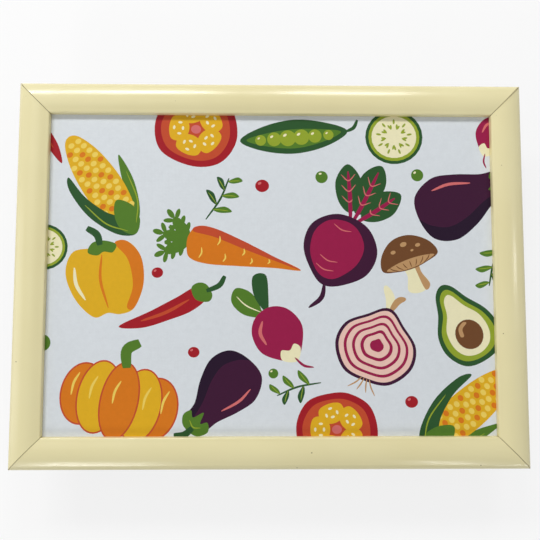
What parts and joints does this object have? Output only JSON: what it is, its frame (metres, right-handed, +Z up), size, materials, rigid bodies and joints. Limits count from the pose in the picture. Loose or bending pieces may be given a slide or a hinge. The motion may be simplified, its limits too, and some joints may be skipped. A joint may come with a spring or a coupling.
{
  "type": "lap tray with cushion",
  "caption": "Rectangular lap tray: a printed board in a mitred, domed frame, held by touch-close strips on a bead-filled fabric cushion with a zip.",
  "frame": {"origin": "middle of the cushion's flat underside, where the tray rests", "axes": "+X along the tray's long side, +Y to its back edge, where the zip is, +Z up"},
  "size_m": [0.44, 0.332, 0.063],
  "materials": {
    "cream_moulding": "wrapped in smooth cream foil, glossy",
    "print": "printed, linen-embossed, lightly laminated",
    "board": "raw fibreboard",
    "backing": "brown backing paper",
    "fasteners": "bright steel",
    "hooks": "moulded hook tape, dark",
    "loops": "brushed loop tape, dark",
    "cover": "plain-woven blue cotton",
    "inner_bag": "thin undyed cotton",
    "beads": "polystyrene beads",
    "zip_tape": "woven tape, dark blue",
    "zip_teeth": "moulded, dark blue",
    "zip_metal": "nickel plated"
  },
  "bodies": {
    "cushion": {"loop_strip_front": "loops", "loop_strip_back": "loops", "loop_strip_left": "loops", "loop_strip_right": "loops", "cover_top_panel": "cover", "cover_bottom_panel": "cover", "inner_bag": "inner_bag", "bead_fill": "beads", "zip_tape_upper": "zip_tape", "zip_tape_lower": "zip_tape", "zip_teeth_upper": "zip_teeth", "zip_teeth_lower": "zip_teeth", "zip_stops": "zip_metal"},
    "tray": {"front_rail": "cream_moulding", "back_rail": "cream_moulding", "left_rail": "cream_moulding", "right_rail": "cream_moulding", "print_sheet": "print", "tray_board": "board", "backing_sheet": "backing", "corner_v_nails": "fasteners", "framer_points": "fasteners", "strip_staples": "fasteners", "hook_strip_front": "hooks", "hook_strip_back": "hooks", "hook_strip_left": "hooks", "hook_strip_right": "hooks"},
    "zip_slider": {"zip_slider": "zip_metal"},
    "zip_puller": {"zip_puller": "zip_metal"}
  },
  "joints": [
    {"name": "tray_lift", "type": "slide", "parent": "cushion", "child": "tray", "axis": [0, 0, 1], "range_m": [0, 0.12]},
    {"name": "zip_run", "type": "slide", "parent": "cushion", "child": "zip_slider", "axis": [-1, 0, 0], "range_m": [0, 0.283]},
    {"name": "puller_swing", "type": "hinge", "parent": "zip_slider", "child": "zip_puller", "pos_m": [0.1417, 0.1565, 0.028], "axis": [0, 0, -1], "range_deg": [0, 180]}
  ]
}
